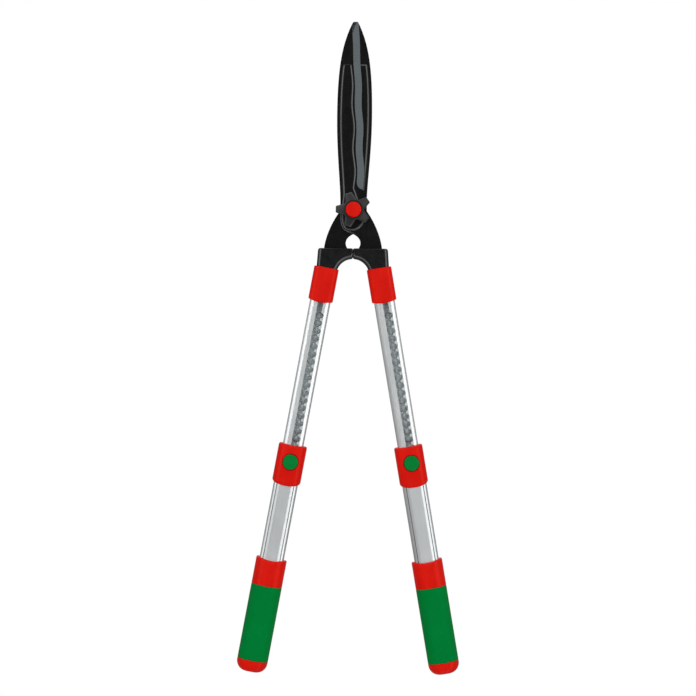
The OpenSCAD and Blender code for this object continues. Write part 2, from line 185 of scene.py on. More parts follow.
def bowed(w, sag, half_w):
    """Station of an end that bows by sag between the middle and the sides."""
    return lambda x: w + sag * (1 - (x / half_w) ** 2)


def mixed(first, second, share, offset=0):
    """Station between two ends."""
    return lambda x: first(x) * (1 - share) + second(x) * share + offset


def outer_rings(section, top, bottom, top_round, bottom_round, rows=6, steps=5):
    """Rings of a skin between two ends; a round is (inset across, inset in depth, length)."""
    rings = []
    for inset, advance in quarter(steps):
        rings.append(section_ring(section, top_round[0] * inset, top_round[1] * inset,
                                  mixed(top, bottom, 0, top_round[2] * advance)))
    for i in range(1, rows):
        rings.append(section_ring(section, 0, 0, mixed(top, bottom, i / rows)))
    for inset, advance in reversed(quarter(steps)):
        rings.append(section_ring(section, bottom_round[0] * inset, bottom_round[1] * inset,
                                  mixed(top, bottom, 1, -bottom_round[2] * advance)))
    return rings


def sleeve(name, place, section, bore, top, bottom, top_round, bottom_round, rows=6):
    """A sleeve with rounded, bowed ends and a bore."""
    rings = outer_rings(section, top, bottom, top_round, bottom_round, rows)
    rings.append(section_ring(bore, 0, 0, bottom))
    rings.append(section_ring(bore, 0, 0, top))
    return loft(name, rings, place, closed=True)


def lathe(name, profile, x, z, place, segments=72):
    """A turned piece on an axis from front to back: profile is (radius, y) from centre to centre."""
    angles = np.arange(segments) * 2 * math.pi / segments
    rings = [np.column_stack([x + r * np.cos(angles), np.full(segments, y), z + r * np.sin(angles)])
             for r, y in profile]
    return loft(name, rings, place)


def arc_profile(centre_r, centre_y, radius, start, end, steps=5):
    """Points of an arc in a turned profile, angles in degrees, 0 outwards and -90 to the front."""
    angles = np.radians(np.linspace(start, end, steps + 1))
    return [(centre_r + radius * math.cos(a), centre_y + radius * math.sin(a)) for a in angles]


def apply_modifiers(piece):
    """Makes the modifiers of a piece part of its mesh."""
    depsgraph = bpy.context.evaluated_depsgraph_get()
    mesh = bpy.data.meshes.new_from_object(piece.evaluated_get(depsgraph))
    piece.modifiers.clear()
    old, piece.data = piece.data, mesh
    bpy.data.meshes.remove(old)


def cut(piece, cutter):
    """Cuts one solid out of another."""
    modifier = piece.modifiers.new("cut", "BOOLEAN")
    modifier.operation = "DIFFERENCE"
    modifier.solver = "EXACT"
    modifier.object = cutter
    apply_modifiers(piece)
    bpy.data.objects.remove(cutter)


def join(piece, others):
    """Adds the meshes of other pieces in the same frame to a piece."""
    grid = bmesh.new()
    for part in [piece] + others:
        grid.from_mesh(part.data)
    grid.to_mesh(piece.data)
    grid.free()
    for part in others:
        bpy.data.objects.remove(part)


def settle(piece):
    """Moves a piece from its local frame to the world, and keeps the local places for its material."""
    mesh = piece.data
    places = np.empty(len(mesh.vertices) * 3, np.float32)
    mesh.vertices.foreach_get("co", places)
    mesh.attributes.new("local_place", "FLOAT_VECTOR", "POINT").data.foreach_set("vector", places)
    mesh.transform(piece.matrix_world)
    piece.matrix_world = Matrix.Identity(4)


def dress(piece, body, slot, materials, *nodes, sharp=32):
    """Shading, materials and body of a piece that stands for CAD nodes, whose nodes it hides; slot is not used."""
    settle(piece)
    mesh = piece.data
    if not mesh.materials:
        for material in materials:
            mesh.materials.append(material)
    mesh.shade_smooth()
    mesh.set_sharp_from_angle(angle=math.radians(sharp))
    weighted = piece.modifiers.new("weighted_normals", "WEIGHTED_NORMAL")
    weighted.keep_sharp = True
    weighted.weight = 80
    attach(piece, body)
    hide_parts(*nodes)


# Materials
class Nodes:
    """A node tree whose nodes are added, set and linked in one call."""

    def __init__(self, tree):
        self.tree = tree

    def feed(self, socket, value):
        """Links another node's output to a socket, or sets the socket's own value or opaque colour."""
        if isinstance(value, bpy.types.NodeSocket):
            self.tree.links.new(value, socket)
        else:
            socket.default_value = (*value, 1) if socket.type == "RGBA" else value

    def set(self, node, inputs):
        for key, value in inputs.items():
            self.feed(node.inputs[key.replace("_", " ") if isinstance(key, str) else key], value)

    def add(self, kind, *values, inputs=None, **properties):
        """Adds a node with its first values and its named inputs, and gives its outputs."""
        made = self.tree.nodes.new(kind)
        for key, value in properties.items():
            setattr(made, key, value)
        for socket, value in zip(made.inputs, values):
            self.feed(socket, value)
        self.set(made, inputs or {})
        return made.outputs

    def math(self, operation, first, second=0.0):
        return self.add("ShaderNodeMath", first, second, operation=operation)[0]


class Material(Nodes):
    """A material built round one principled shader."""

    def __init__(self, name, local=True, **settings):
        self.material = bpy.data.materials.new(name)
        self.material.use_nodes = True
        super().__init__(self.material.node_tree)
        self.shader = self.tree.nodes["Principled BSDF"]
        self.set(self.shader, settings)
        if local:
            self.where = self.add("ShaderNodeAttribute", attribute_name="local_place")["Vector"]
        else:
            self.where = self.add("ShaderNodeTexCoord")["Object"]

    def painted_light(self, share):
        """The piece's painted light attribute, times a share: painted highlight where a material lightens with it,
        painted shade where it darkens.
        """
        own = self.add("ShaderNodeAttribute", attribute_name="painted_light")["Fac"]
        return self.math("MULTIPLY", own, share)

    def stretched(self, x, y, z):
        """Places scaled per axis, for streaks."""
        return self.add("ShaderNodeMapping", inputs={"Vector": self.where, "Scale": (x, y, z)})[0]

    def noise(self, size, where=None, detail=3.0, rough=0.5):
        """Noise with features of a given size in mm."""
        inputs = {"Vector": where or self.where, "Scale": 1 / (size * MM), "Detail": detail,
                  "Roughness": rough}
        return self.add("ShaderNodeTexNoise", inputs=inputs)["Fac"]

    def cells(self, size, output):
        """Cells of a given size in mm."""
        inputs = {"Vector": self.where, "Scale": 1 / (size * MM)}
        return self.add("ShaderNodeTexVoronoi", inputs=inputs)[output]

    def spread(self, value, low, high, start=0.3, end=0.7):
        """Maps a noise value to a range."""
        return self.add("ShaderNodeMapRange", value, start, end, low, high)[0]

    def mix(self, share, first, second, blend="MIX"):
        """Mixes two colours."""
        inputs = {0: share, 6: first, 7: second}
        return self.add("ShaderNodeMix", data_type="RGBA", blend_type=blend, inputs=inputs)[2]

    def bump(self, height, distance):
        """Bump of a given height in mm."""
        inputs = {"Height": height, "Distance": distance * MM, "Strength": 1.0}
        return self.add("ShaderNodeBump", inputs=inputs)[0]

    def finish(self, tone, rough, height, distance):
        """Sets the shader's colour, roughness and bump, and gives the material."""
        self.set(self.shader, {"Base Color": tone, "Roughness": rough, "Normal": self.bump(height, distance)})
        return self.material


def coated_steel():
    """Satin black non-stick coating with a faint orange peel and faint rubbing marks, and a painted highlight of
    light grey on the panel borders and the lower left edge.
    """
    g = Material("coated_steel", Specular_IOR_Level=0.28)
    blotch = g.noise(9, detail=4)
    peel = g.noise(0.9, detail=2)
    rub_and_highlight = g.noise(3, g.stretched(1, 1, 0.08), detail=4)
    tone = g.mix(g.spread(blotch, 0, 1), (0.002, 0.0026, 0.0022), (0.0034, 0.0042, 0.0036))
    tone = g.mix(g.spread(rub_and_highlight, 0, 0.14, 0.55, 0.8), tone, (0.012, 0.014, 0.013))
    # Painted highlight: light grey where the painted light attribute is set, broken up by the same streaky noise.
    tone = g.mix(g.painted_light(g.spread(rub_and_highlight, 0.75, 1)), tone, (0.2, 0.215, 0.21))
    rough = g.math("ADD", g.spread(blotch, 0.22, 0.27), g.spread(rub_and_highlight, 0.0, 0.04))
    return g.finish(tone, rough, peel, 0.005)


def ground_steel():
    """The ground bevel: dulled steel with fine grinding marks across the edge."""
    g = Material("ground_steel", Metallic=0.3, Specular_IOR_Level=0.3)
    marks = g.noise(0.5, g.stretched(0.08, 0.08, 1), detail=4, rough=0.7)
    cloud = g.noise(14, g.stretched(1, 1, 0.5), detail=3)
    tone = g.mix(g.spread(marks, 0, 1), (0.079, 0.094, 0.1), (0.123, 0.143, 0.151))
    tone = g.mix(g.spread(cloud, 0, 0.3), tone, (0.079, 0.093, 0.099))
    return g.finish(tone, g.spread(marks, 0.38, 0.5), marks, 0.01)


def black_moulding(name, dark, light, rough):
    """Black moulded plastic with a fine texture, and a painted highlight of light grey on its rims."""
    g = Material(name, Specular_IOR_Level=0.35)
    blotch = g.noise(7, detail=3)
    grain = g.noise(0.45, detail=2)
    tone = g.mix(g.spread(blotch, 0, 1), dark, light)
    # Painted highlight: light grey where the painted light attribute is set, broken up by the grain.
    tone = g.mix(g.painted_light(g.spread(grain, 0.6, 1)), tone, (0.16, 0.165, 0.165))
    return g.finish(tone, g.spread(blotch, rough, rough + 0.07), grain, 0.012)


def red_moulding():
    """Semi-gloss red plastic with a slight flow pattern along the part."""
    g = Material("red_moulding", Specular_IOR_Level=0.22, Specular_Tint=(1, 0.6, 0.5))
    flow = g.noise(16, g.stretched(1, 1, 0.45), detail=3)
    grain = g.noise(0.7, detail=2)
    tone = g.mix(g.spread(flow, 0, 1), (0.73, 0.004, 0.0008), (0.84, 0.008, 0.002))
    return g.finish(tone, g.spread(flow, 0.24, 0.3), grain, 0.006)


def green_moulding():
    """Semi-gloss green plastic of the push buttons."""
    g = Material("green_moulding", Specular_IOR_Level=0.2, Specular_Tint=(0.3, 1, 0.4))
    flow = g.noise(8, detail=3)
    grain = g.noise(0.6, detail=2)
    tone = g.mix(g.spread(flow, 0, 1), (0.0002, 0.21, 0.032), (0.0004, 0.245, 0.04))
    return g.finish(tone, g.spread(flow, 0.3, 0.38), grain, 0.01)


def soft_rubber():
    """Soft-touch green rubber: matte, with a fine leathery grain and faint handling marks."""
    g = Material("soft_rubber", Specular_IOR_Level=0.15, Specular_Tint=(0.05, 1, 0.35))
    cloud = g.noise(22, detail=4)
    pebble = g.cells(0.9, "Distance")
    grain = g.noise(0.35, detail=3)
    tone = g.mix(g.spread(cloud, 0, 1), (0.0001, 0.205, 0.034), (0.0002, 0.228, 0.04))
    tone = g.mix(g.spread(pebble, 0.12, 0, 0.1, 0.7), tone, (0.0001, 0.15, 0.024))
    relief = g.math("ADD", pebble, g.math("MULTIPLY", grain, 0.5))
    return g.finish(tone, g.spread(cloud, 0.5, 0.6), relief, 0.03)


def extruded_aluminium(name, base, rough):
    """Bare extruded aluminium with die lines and a few handling marks, and painted shade where the painted light
    attribute is set.
    """
    g = Material(name, Metallic=1.0, Anisotropic=0.6)
    lines = g.noise(0.5, g.stretched(1, 1, 0.006), detail=5, rough=0.7)
    wide = g.noise(3.5, g.stretched(1, 1, 0.02), detail=2)
    smudge = g.noise(18, detail=4)
    tone = g.mix(g.spread(lines, 0, 1), [c * 0.94 for c in base], base)
    tone = g.mix(g.spread(smudge, 0, 0.1), tone, [c * 0.85 for c in base])
    # Painted shade: dark grey in the grooves of the lower tube.
    tone = g.mix(g.painted_light(0.75), tone, (0.12, 0.12, 0.11))
    uneven = g.math("ADD", g.spread(lines, rough - 0.04, rough + 0.05), g.spread(smudge, 0.0, 0.04))
    relief = g.math("ADD", lines, g.math("MULTIPLY", wide, 0.6))
    return g.finish(tone, uneven, relief, 0.005)


def drawn_inside():
    """Dull, unpolished inside of a tube."""
    g = Material("dull_inside", Metallic=0.6, Specular_IOR_Level=0.3)
    lines = g.noise(1.2, g.stretched(1, 1, 0.02), detail=4)
    tone = g.mix(g.spread(lines, 0, 1), (0.66, 0.71, 0.72), (0.78, 0.83, 0.84))
    return g.finish(tone, g.spread(lines, 0.4, 0.5), lines, 0.01)


def plated_steel():
    """Zinc-plated steel with a faint crystalline mottling."""
    g = Material("plated_steel", local=False, Metallic=1.0)
    turned = g.noise(0.4, detail=4)
    tone = g.mix(0.1, (0.52, 0.54, 0.56), g.cells(1.6, "Color"), "SOFT_LIGHT")
    return g.finish(tone, g.spread(turned, 0.24, 0.36), turned, 0.006)


def turned_bronze():
    """Oiled bronze with turning marks."""
    g = Material("turned_bronze", local=False, Metallic=1.0)
    marks = g.noise(0.3, g.stretched(0.2, 1, 0.2), detail=3)
    tone = g.mix(g.spread(marks, 0, 1), (0.5, 0.32, 0.13), (0.6, 0.42, 0.2))
    return g.finish(tone, g.spread(marks, 0.25, 0.4), marks, 0.005)


def grey_moulding():
    """Grey bearing plastic of the guide bushes."""
    g = Material("grey_moulding", local=False, Specular_IOR_Level=0.4)
    grain = g.noise(0.5, detail=3)
    tone = g.mix(g.spread(grain, 0, 1), (0.08, 0.085, 0.09), (0.11, 0.115, 0.12))
    return g.finish(tone, g.spread(grain, 0.4, 0.5), grain, 0.015)


COATED = coated_steel()
GROUND = ground_steel()
BLACK = black_moulding("black_moulding", (0.0028, 0.0032, 0.003), (0.0055, 0.006, 0.006), 0.26)
KNOB_BLACK = black_moulding("knob_moulding", (0.006, 0.0055, 0.006), (0.011, 0.0098, 0.0105), 0.34)
RED = red_moulding()
GREEN = green_moulding()
RUBBER = soft_rubber()
INNER_METAL = extruded_aluminium("slotted_tube_aluminium", (0.94, 0.965, 0.97), 0.34)
OUTER_METAL = extruded_aluminium("lower_tube_aluminium", (0.86, 0.89, 0.90), 0.36)
INSIDE = drawn_inside()
ZINC = plated_steel()
BRONZE = turned_bronze()
GREY = grey_moulding()
NODE_MATERIAL = {"zinc_steel": ZINC, "bronze": BRONZE, "grey_plastic": GREY}


# Blades
WAVE_PITCH = 56
WAVE_HEIGHT = 0.9
WAVE_CREST = 106
BEVEL_WIDTH = 8.8
EDGE_LAND = 0.6
PANEL_RISE = 0.6
PANEL_MARGIN = 5
TANG_MARGIN = 2.8
PANEL_GAP = 12
PANEL_TOP = 185
PANEL_BOTTOM = 22
BORDER = 1.4
MERGED_INSET = 1.5
BOSS_CENTRE = (-2.5, -9.5)
BOSS_R = 15.8
TIP_R = 2.2
SIDE_R = 0.5
LIP = 0.06
ROUND_SIDE = [(1 - math.sin(a), 1 - math.cos(a)) for a in (0.0, 0.5, 1.0)]
# Steps across a blade: left flat, inner border, raised area, outer border, right flat and bevel
COLUMN_STEPS = (3, 4, 12, 4, 8, 4)
# Painted highlight on the blade's lower left edge: its share, and the heights between which it lies
EDGE_HIGHLIGHT = 0.6
EDGE_HIGHLIGHT_Z = (-32, 6)

Row = namedtuple("Row", "z left right bevel outer columns")


def blade_outline(node, heights):
    """Left and right side of a CAD blade at each height above the pivot, in mm."""
    mesh = frame["nodes"][node].data
    inverse = PIVOT.inverted()
    points = np.array([inverse @ v.co for v in mesh.vertices]) / MM
    edges = points[np.array([e.vertices[:] for e in mesh.edges])]
    low = edges[np.arange(len(edges)), edges[:, :, 2].argmin(1)]
    high = edges[np.arange(len(edges)), edges[:, :, 2].argmax(1)]
    sides = []
    for z in heights:
        crossing = (low[:, 2] <= z) & (high[:, 2] > z)
        a, b = low[crossing], high[crossing]
        x = a[:, 0] + (b[:, 0] - a[:, 0]) * (z - a[:, 2]) / (b[:, 2] - a[:, 2])
        sides.append((x.min(), x.max()))
    return np.array(sides)


def wave(z):
    """The cutting edge's wave, which dies out towards the tip."""
    fade = 1 - (z / (BLADE_TOP + 10)) ** 2
    return WAVE_HEIGHT * fade * math.cos(2 * math.pi * (z - WAVE_CREST) / WAVE_PITCH)


def bevel_width(z):
    """Width of the ground bevel, with a curled lower end and a rounded upper end."""
    below, above = (37 - z) / 11, (z - (BLADE_TOP - 8.5)) / 7.8
    share = max(below, above, 0)
    return max(BEVEL_WIDTH * math.sqrt(max(1 - share * share, 0)), 0.3)


def distance_to(line, points):
    """Distance from each point to a polyline, in the plane of the blade."""
    best = np.full(len(points), 1e9)
    for a, b in zip(line[:-1], line[1:]):
        t = np.clip(((points - a) @ (b - a)) / max((b - a) @ (b - a), 1e-9), 0, 1)
        best = np.minimum(best, np.linalg.norm(points - (a + t[:, None] * (b - a)), axis=1))
    return best


def spaced(knots, counts):
    """Values between knots, with a given number of steps between each two."""
    values = [knots[0]]
    for a, b, count in zip(knots[:-1], knots[1:], counts):
        values += [a + (b - a) * i / count for i in range(1, count + 1)]
    return values


BLADE_LOW, BLADE_HIGH = node_box("front_blade", PIVOT)
BLADE_TOP = BLADE_HIGH[2]
PANEL_FACE = -BLADE_LOW[1]
GAP = -BLADE_HIGH[1]
SHEET_FACE = PANEL_FACE - PANEL_RISE
BLADE_FOOT = node_box("left_bumper", PIVOT)[1][2] - 8


def border_margin(z):
    """How far the raised area stays from the outline: less on the tang than on the blade."""
    return TANG_MARGIN + (PANEL_MARGIN - TANG_MARGIN) * smooth((z - 2) / 20)


def panel_lines(z, left, right, bevel):
    """The two borders of the raised area at a height."""
    inner = left + border_margin(z)
    blade = right + 0.5 * wave(z) - PANEL_GAP
    boss = BOSS_CENTRE[0] + math.sqrt(max(BOSS_R ** 2 - min(z - BOSS_CENTRE[1], 0) ** 2, 0))
    outer = boss + (blade - boss) * smooth((z - BOSS_CENTRE[1]) / 30)
    room = right - bevel - MERGED_INSET - left - MERGED_INSET
    fade = smooth((z - PANEL_TOP - 2) / 20) + smooth((BOSS_CENTRE[1] - 15 - z) / 4)
    fade = min(fade, 1)
    inner += (left + MERGED_INSET + 0.3 * room - inner) * fade
    outer += (left + MERGED_INSET + 0.7 * room - outer) * fade
    return inner, max(outer, inner + 2 * BORDER + 0.3)


def blade_heights():
    """Heights of a blade's rings, closer together where its shape changes fast."""
    heights = []
    start = BLADE_FOOT
    for end, step in ((24, 0.9), (40, 0.7), (PANEL_TOP - 4, 2.0), (PANEL_TOP + 4, 0.5),
                      (BLADE_TOP - 16, 2.0), (BLADE_TOP - TIP_R, 0.7)):
        heights.append(np.arange(start, end, step))
        start = end
    heights.append(BLADE_TOP - TIP_R * np.cos(np.linspace(0, 1.45, 8)))
    return np.concatenate(heights)


def blade_row(z, left, right):
    """Lines and columns of a blade at a height; its sides round in at the tip."""
    over = max(z - (BLADE_TOP - TIP_R), 0)
    shrink = TIP_R - math.sqrt(max(TIP_R ** 2 - over ** 2, 0))
    left, right = left + shrink, right - shrink
    bevel = min(bevel_width(z), right - left - 1)
    inner, outer = panel_lines(z, left, right, bevel)
    half = BORDER / 2
    knots = [left + SIDE_R, inner - half, inner + half, outer - half, outer + half, right - bevel, right]
    return Row(z, left, right, bevel, outer, np.array(spaced(knots, COLUMN_STEPS)))


def on_line(distance):
    """Share of painted highlight at a distance from a border's middle."""
    return np.clip(1.2 - np.abs(distance) / (0.5 * BORDER), 0, 1)


def blade_ring(row, edge_distance):
    """Points and painted highlight of a blade round one row, from its columns' distances to the outline."""
    z, columns, right = row.z, row.columns, row.right
    to_boss = BOSS_R - np.hypot(columns - BOSS_CENTRE[0], z - BOSS_CENTRE[1])
    to_right = row.outer - columns if z > BOSS_CENTRE[1] else to_boss
    beside = np.minimum(edge_distance - border_margin(z), to_right)
    inside = np.minimum(beside, PANEL_TOP - z)
    hollow_edge = np.minimum(inside, z - PANEL_BOTTOM)
    raised, hollow = [(PANEL_FACE - SHEET_FACE) * smooth(0.5 + d / BORDER) for d in (inside, hollow_edge)]
    slope = (SHEET_FACE - GAP - EDGE_LAND) / BEVEL_WIDTH
    ground = np.maximum(slope * (columns - (right - row.bevel)), 0) if row.bevel > 0.35 else 0 * columns
    thinned = 1 - min(1, 0.25 + (BLADE_TOP - z) / 2)
    front = -(SHEET_FACE + raised) + ground + thinned
    back = -(GAP + hollow) - thinned

    ring = [(row.left, -(SHEET_FACE + GAP) / 2)]
    ring += [(row.left + SIDE_R * u, front[0] + SIDE_R * v) for v, u in ROUND_SIDE[::-1]]
    ring += list(zip(columns[:-1], front[:-1]))
    ring += [(right - LIP, front[-1]), (right, front[-1] + LIP)]
    ring += [(right, back[-1] - LIP), (right - LIP, back[-1])]
    ring += list(zip(columns[-2::-1], back[-2::-1]))
    ring += [(row.left + SIDE_R * u, back[0] - SIDE_R * v) for v, u in ROUND_SIDE]

    rounds, across = len(ROUND_SIDE), len(columns) - 1
    # Painted highlights: along the borders of the raised area in front (not its top), of the hollow behind, and on
    # the lower left edge.
    painted_light = np.zeros(len(ring))
    painted_light[1 + rounds:1 + rounds + across] = on_line(beside)[:-1] * smooth((PANEL_TOP - z) / 2)
    painted_light[-rounds - across:-rounds] = on_line(hollow_edge)[-2::-1]
    rub_and_highlight = EDGE_HIGHLIGHT * smooth((EDGE_HIGHLIGHT_Z[1] - z) / 6) * smooth((z - EDGE_HIGHLIGHT_Z[0]) / 6)
    painted_light[1:3 + rounds] = np.maximum(painted_light[1:3 + rounds], rub_and_highlight)
    return np.array([(x, y, z) for x, y in ring]), painted_light


def blade(name, place):
    """One blade with its tang, drawn as rings from the foot to the tip."""
    heights = blade_heights()
    sides = blade_outline("front_blade", heights)
    rows = [blade_row(z, left, right) for z, (left, right) in zip(heights, sides)]
    contour = np.column_stack([sides[:, 0], heights])
    columns = np.array([(x, row.z) for row in rows for x in row.columns])
    from_contour = distance_to(contour, columns).reshape(len(rows), -1)
    rings, painted_light = zip(*[blade_ring(row, distance) for row, distance in zip(rows, from_contour)])
    return loft(name, rings, place, painted_light=np.concatenate(painted_light)), rows


def paint_bevel(piece, rows):
    """Gives the faces of the ground bevel their own material."""
    heights = np.array([row.z for row in rows])
    starts = np.array([row.right - row.bevel for row in rows])
    widths = np.array([row.bevel for row in rows])
    for face in piece.data.polygons:
        x, y, z = face.center / MM
        if not heights[0] < z < heights[-1]:
            continue
        start, width = np.interp(z, heights, starts), np.interp(z, heights, widths)
        if width > 0.5 and x > start and face.normal.y < -0.3:
            face.material_index = 1


def add_blades():
    """Both blades: the rear one is the front one turned half round the pivot's upright line."""
    for name, body, node, turn in (("front_blade_body", "right_upper", "front_blade", 0),
                                   ("rear_blade_body", "left_upper", "rear_blade", math.pi)):
        place = PIVOT @ Matrix.Rotation(turn, 4, "Z")
        piece, rows = blade(name, place)
        paint_bevel(piece, rows)
        dress(piece, body, "coated_blade", [COATED, GROUND], node, sharp=24)


# Pivot
LOBES = 5
LOBE_PHASE = 35
LOBE_END = 4.2
LOBE_ROOT = 7.2
LOBE_DROOP = 2.6
HUB_R = 12.9


def star_outline(reach, inset, angles):
    """Radius of the star knob's rim at each angle, pulled in by an inset."""
    tip, root, valley = reach - inset, LOBE_ROOT - inset, HUB_R + 0.4 - 0.3 * inset
    end = LOBE_END - inset
    corner = np.array([tip, end])
    foot = np.array([math.sqrt(valley ** 2 - root ** 2), root])
    normal = np.array([(foot - corner)[1], -(foot - corner)[0]])
    pitch = 2 * math.pi / LOBES
    off = np.abs((angles - math.radians(LOBE_PHASE) + pitch / 2) % pitch - pitch / 2)
    direction = np.column_stack([np.cos(off), np.sin(off)])
    flank = (corner @ normal) / (direction @ normal)
    return np.where(off < math.atan2(end, tip), tip / np.cos(off),
                    np.where(off < math.atan2(root, foot[0]), flank, valley))


def star_ring(reach, inset, y, droop, angles):
    """A ring of the star, softened three times; it droops to the back beyond the hub."""
    radii = star_outline(reach, inset, angles)
    for _ in range(3):
        radii = (np.roll(radii, 1) + 2 * radii + np.roll(radii, -1)) / 4
    depth = y + droop * np.clip((radii - HUB_R) / (reach - HUB_R), 0, 1)
    return np.column_stack([radii * np.cos(angles), depth, radii * np.sin(angles)])


def add_knob():
    """Star knob with a raised hub, sloped lobes with chamfered rims, and a pressed-in cap."""
    low, high = node_box("star_knob", PIVOT)
    cap_low, cap_high = node_box("knob_cap", PIVOT)
    front, back, reach = low[1], high[1], -low[0]
    cap_r, cap_back = cap_high[0], cap_high[1] - 0.1
    recess_r = cap_r + 0.5
    lobe_front, lobe_back = front + 1.5, back - 1.5
    angles = np.arange(360) * 2 * math.pi / 360

    # Rounds of the hub and the back as (radius, y, painted highlight), and rims of the star as (inset, y, droop,
    # painted highlight)
    hub = [(recess_r, cap_back, 0), (recess_r, front + 0.35, 0), (recess_r + 0.1, front + 0.1, 0),
           (recess_r + 0.35, front, 0), (HUB_R - 1.2, front, 0), (HUB_R - 0.5, front + 0.15, 0.12),
           (HUB_R - 0.1, front + 0.5, 0.2), (HUB_R, front + 1.0, 0.14), (HUB_R + 0.1, lobe_front, 0.12)]
    star = [(1.9, lobe_front + 0.1, LOBE_DROOP, 0.12), (1.6, lobe_front + 0.2, LOBE_DROOP, 0.34),
            (0.3, lobe_front + 1.2, LOBE_DROOP, 0.4), (0, lobe_front + 1.7, LOBE_DROOP, 0.1),
            (0, lobe_back - 1.2, 0, 0), (0.3, lobe_back - 0.4, 0, 0), (0.9, lobe_back, 0, 0)]
    rear = [(HUB_R - 0.6, lobe_back, 0), (HUB_R - 0.8, back, 0)]

    def rounds(rows):
        return [np.column_stack([r * np.cos(angles), np.full(len(angles), y), r * np.sin(angles)])
                for r, y, _ in rows]

    rings = rounds(hub) + [star_ring(reach, *row[:3], angles) for row in star] + rounds(rear)
    shares = [row[-1] for row in hub + star + rear]
    # Painted highlight on the hub's rim and the lobes' chamfers, strongest on the left and fading to less than
    # half on the right, as if lit from the left.
    painted_light = [share * (1 - 0.6 * smooth((ring[:, 0] + 4) / 14)) for share, ring in zip(shares, rings)]
    knob = loft("star_knob_body", rings, PIVOT, painted_light=np.concatenate(painted_light))
    dress(knob, "knob", "black_plastic", [KNOB_BLACK], "star_knob", sharp=38)

    face = cap_low[1]
    profile = [(0, face + 0.12), (cap_r * 0.5, face + 0.1), (cap_r - 2.2, face + 0.02)]
    profile += arc_profile(cap_r - 1.2, face + 1.2, 1.2, -90, 0)
    profile += [(cap_r, cap_back), (0, cap_back)]
    cap = lathe("knob_cap_body", profile, 0, 0, PIVOT)
    dress(cap, "knob", "red_plastic", [RED], "knob_cap")


# Bumpers
ARCH_Z = -83.4
ARCH_R = 21
# Size of the curve at the corners: nose top, shoulder, both corners of the foot, and nose
NOSE_TOP_CURVE, SHOULDER_CURVE, FOOT_CURVE, NOSE_CURVE = 2.3, 3.2, 0.7, 2.6
# Pull of the front rim on each side: outer side, top, arch, foot and nose
RIM_PULL = (4.4, 1.3, 4.6, 0.5, 1.6)
RIM_DEPTH = 3.2
RIM_STEPS = 8
# Painted highlight on the first rings of the rim; the rest have none
RIM_HIGHLIGHT = (0.0, 0.9, 0.6, 0.1)


def cross(p, q, r, s):
    """Crossing point of the lines p-q and r-s."""
    d, e = q - p, s - r
    t = ((r - p)[0] * e[1] - (r - p)[1] * e[0]) / (d[0] * e[1] - d[1] * e[0])
    return p + t * d


def round_corners(parts, sizes):
    """Joins open polylines end to end, with a curve of a given size at each joint."""
    steps = 5
    trimmed = []
    for k, part in enumerate(parts):
        lengths = np.concatenate([[0], np.cumsum(np.linalg.norm(np.diff(part, axis=0), axis=1))])
        start, end = sizes[k], lengths[-1] - sizes[(k + 1) % len(parts)]
        at = np.linspace(start, end, len(part))
        trimmed.append(np.column_stack([np.interp(at, lengths, part[:, i]) for i in (0, 1)]))
    outline = []
    for k, part in enumerate(trimmed):
        corner, after = parts[k][-1], trimmed[(k + 1) % len(parts)][0]
        outline.append(part)
        for i in range(1, steps):
            t = i / steps
            outline.append(((1 - t) ** 2 * part[-1] + 2 * t * (1 - t) * corner + t * t * after)[None])
    return np.vstack(outline)


def meet_arch(start, along, radius):
    """Where a line first meets the circle of the arch."""
    off = start - np.array([0, ARCH_Z])
    root = math.sqrt((off @ along) ** 2 - (along @ along) * (off @ off - radius ** 2))
    return start + (-(off @ along) - root) / (along @ along) * along


def bumper_outline(side_in, top_in, arch_in, foot_in, nose_in):
    """Outline of the right bumper, pulled in by its own amount on each side."""
    low, high = node_box("right_bumper", PIVOT)
    collar_low, collar_high = node_box("right_top_collar", ARM["right"])
    arm = PIVOT.inverted() @ ARM["right"]

    def foot(across):
        p = arm @ Vector((across * MM, 0, collar_high[2] * MM)) / MM
        return np.array([p.x, p.z])

    inner_foot, outer_foot = foot(collar_low[0] + 0.85), foot(collar_high[0] - 2.85)
    arch_r = ARCH_R + arch_in
    top = high[2] - top_in
    nose = low[0] - 0.18 + nose_in
    shoulder = np.array([high[0] - 1.7, high[2]])
    inwards = np.array([-(outer_foot - shoulder)[1], (outer_foot - shoulder)[0]])
    inwards = -inwards / np.linalg.norm(inwards)
    lift = np.array([0, foot_in])
    side_top, side_foot = shoulder + inwards * side_in, outer_foot + inwards * side_in
    top_corner = cross(side_top, side_foot, np.array([0, top]), np.array([1, top]))
    foot_corner = cross(side_top, side_foot, outer_foot + lift, inner_foot + lift)
    arch_start = meet_arch(outer_foot + lift, inner_foot - outer_foot, arch_r)
    first = math.atan2(arch_start[1] - ARCH_Z, arch_start[0])
    last = math.acos(nose / arch_r)
    turns = np.linspace(first, last, 16)
    arch = np.array([(arch_r * math.cos(u), ARCH_Z + arch_r * math.sin(u)) for u in turns])
    nose_top = np.array([nose, top])
    parts = [np.linspace(nose_top, top_corner, 10), np.linspace(top_corner, foot_corner, 8),
             np.linspace(foot_corner, arch[0], 8), arch, np.linspace(arch[-1], nose_top, 6)]
    shoulder_curve = max(SHOULDER_CURVE - 0.5 * side_in, 1.0)
    return round_corners(parts, [NOSE_TOP_CURVE, shoulder_curve, FOOT_CURVE, FOOT_CURVE, NOSE_CURVE])


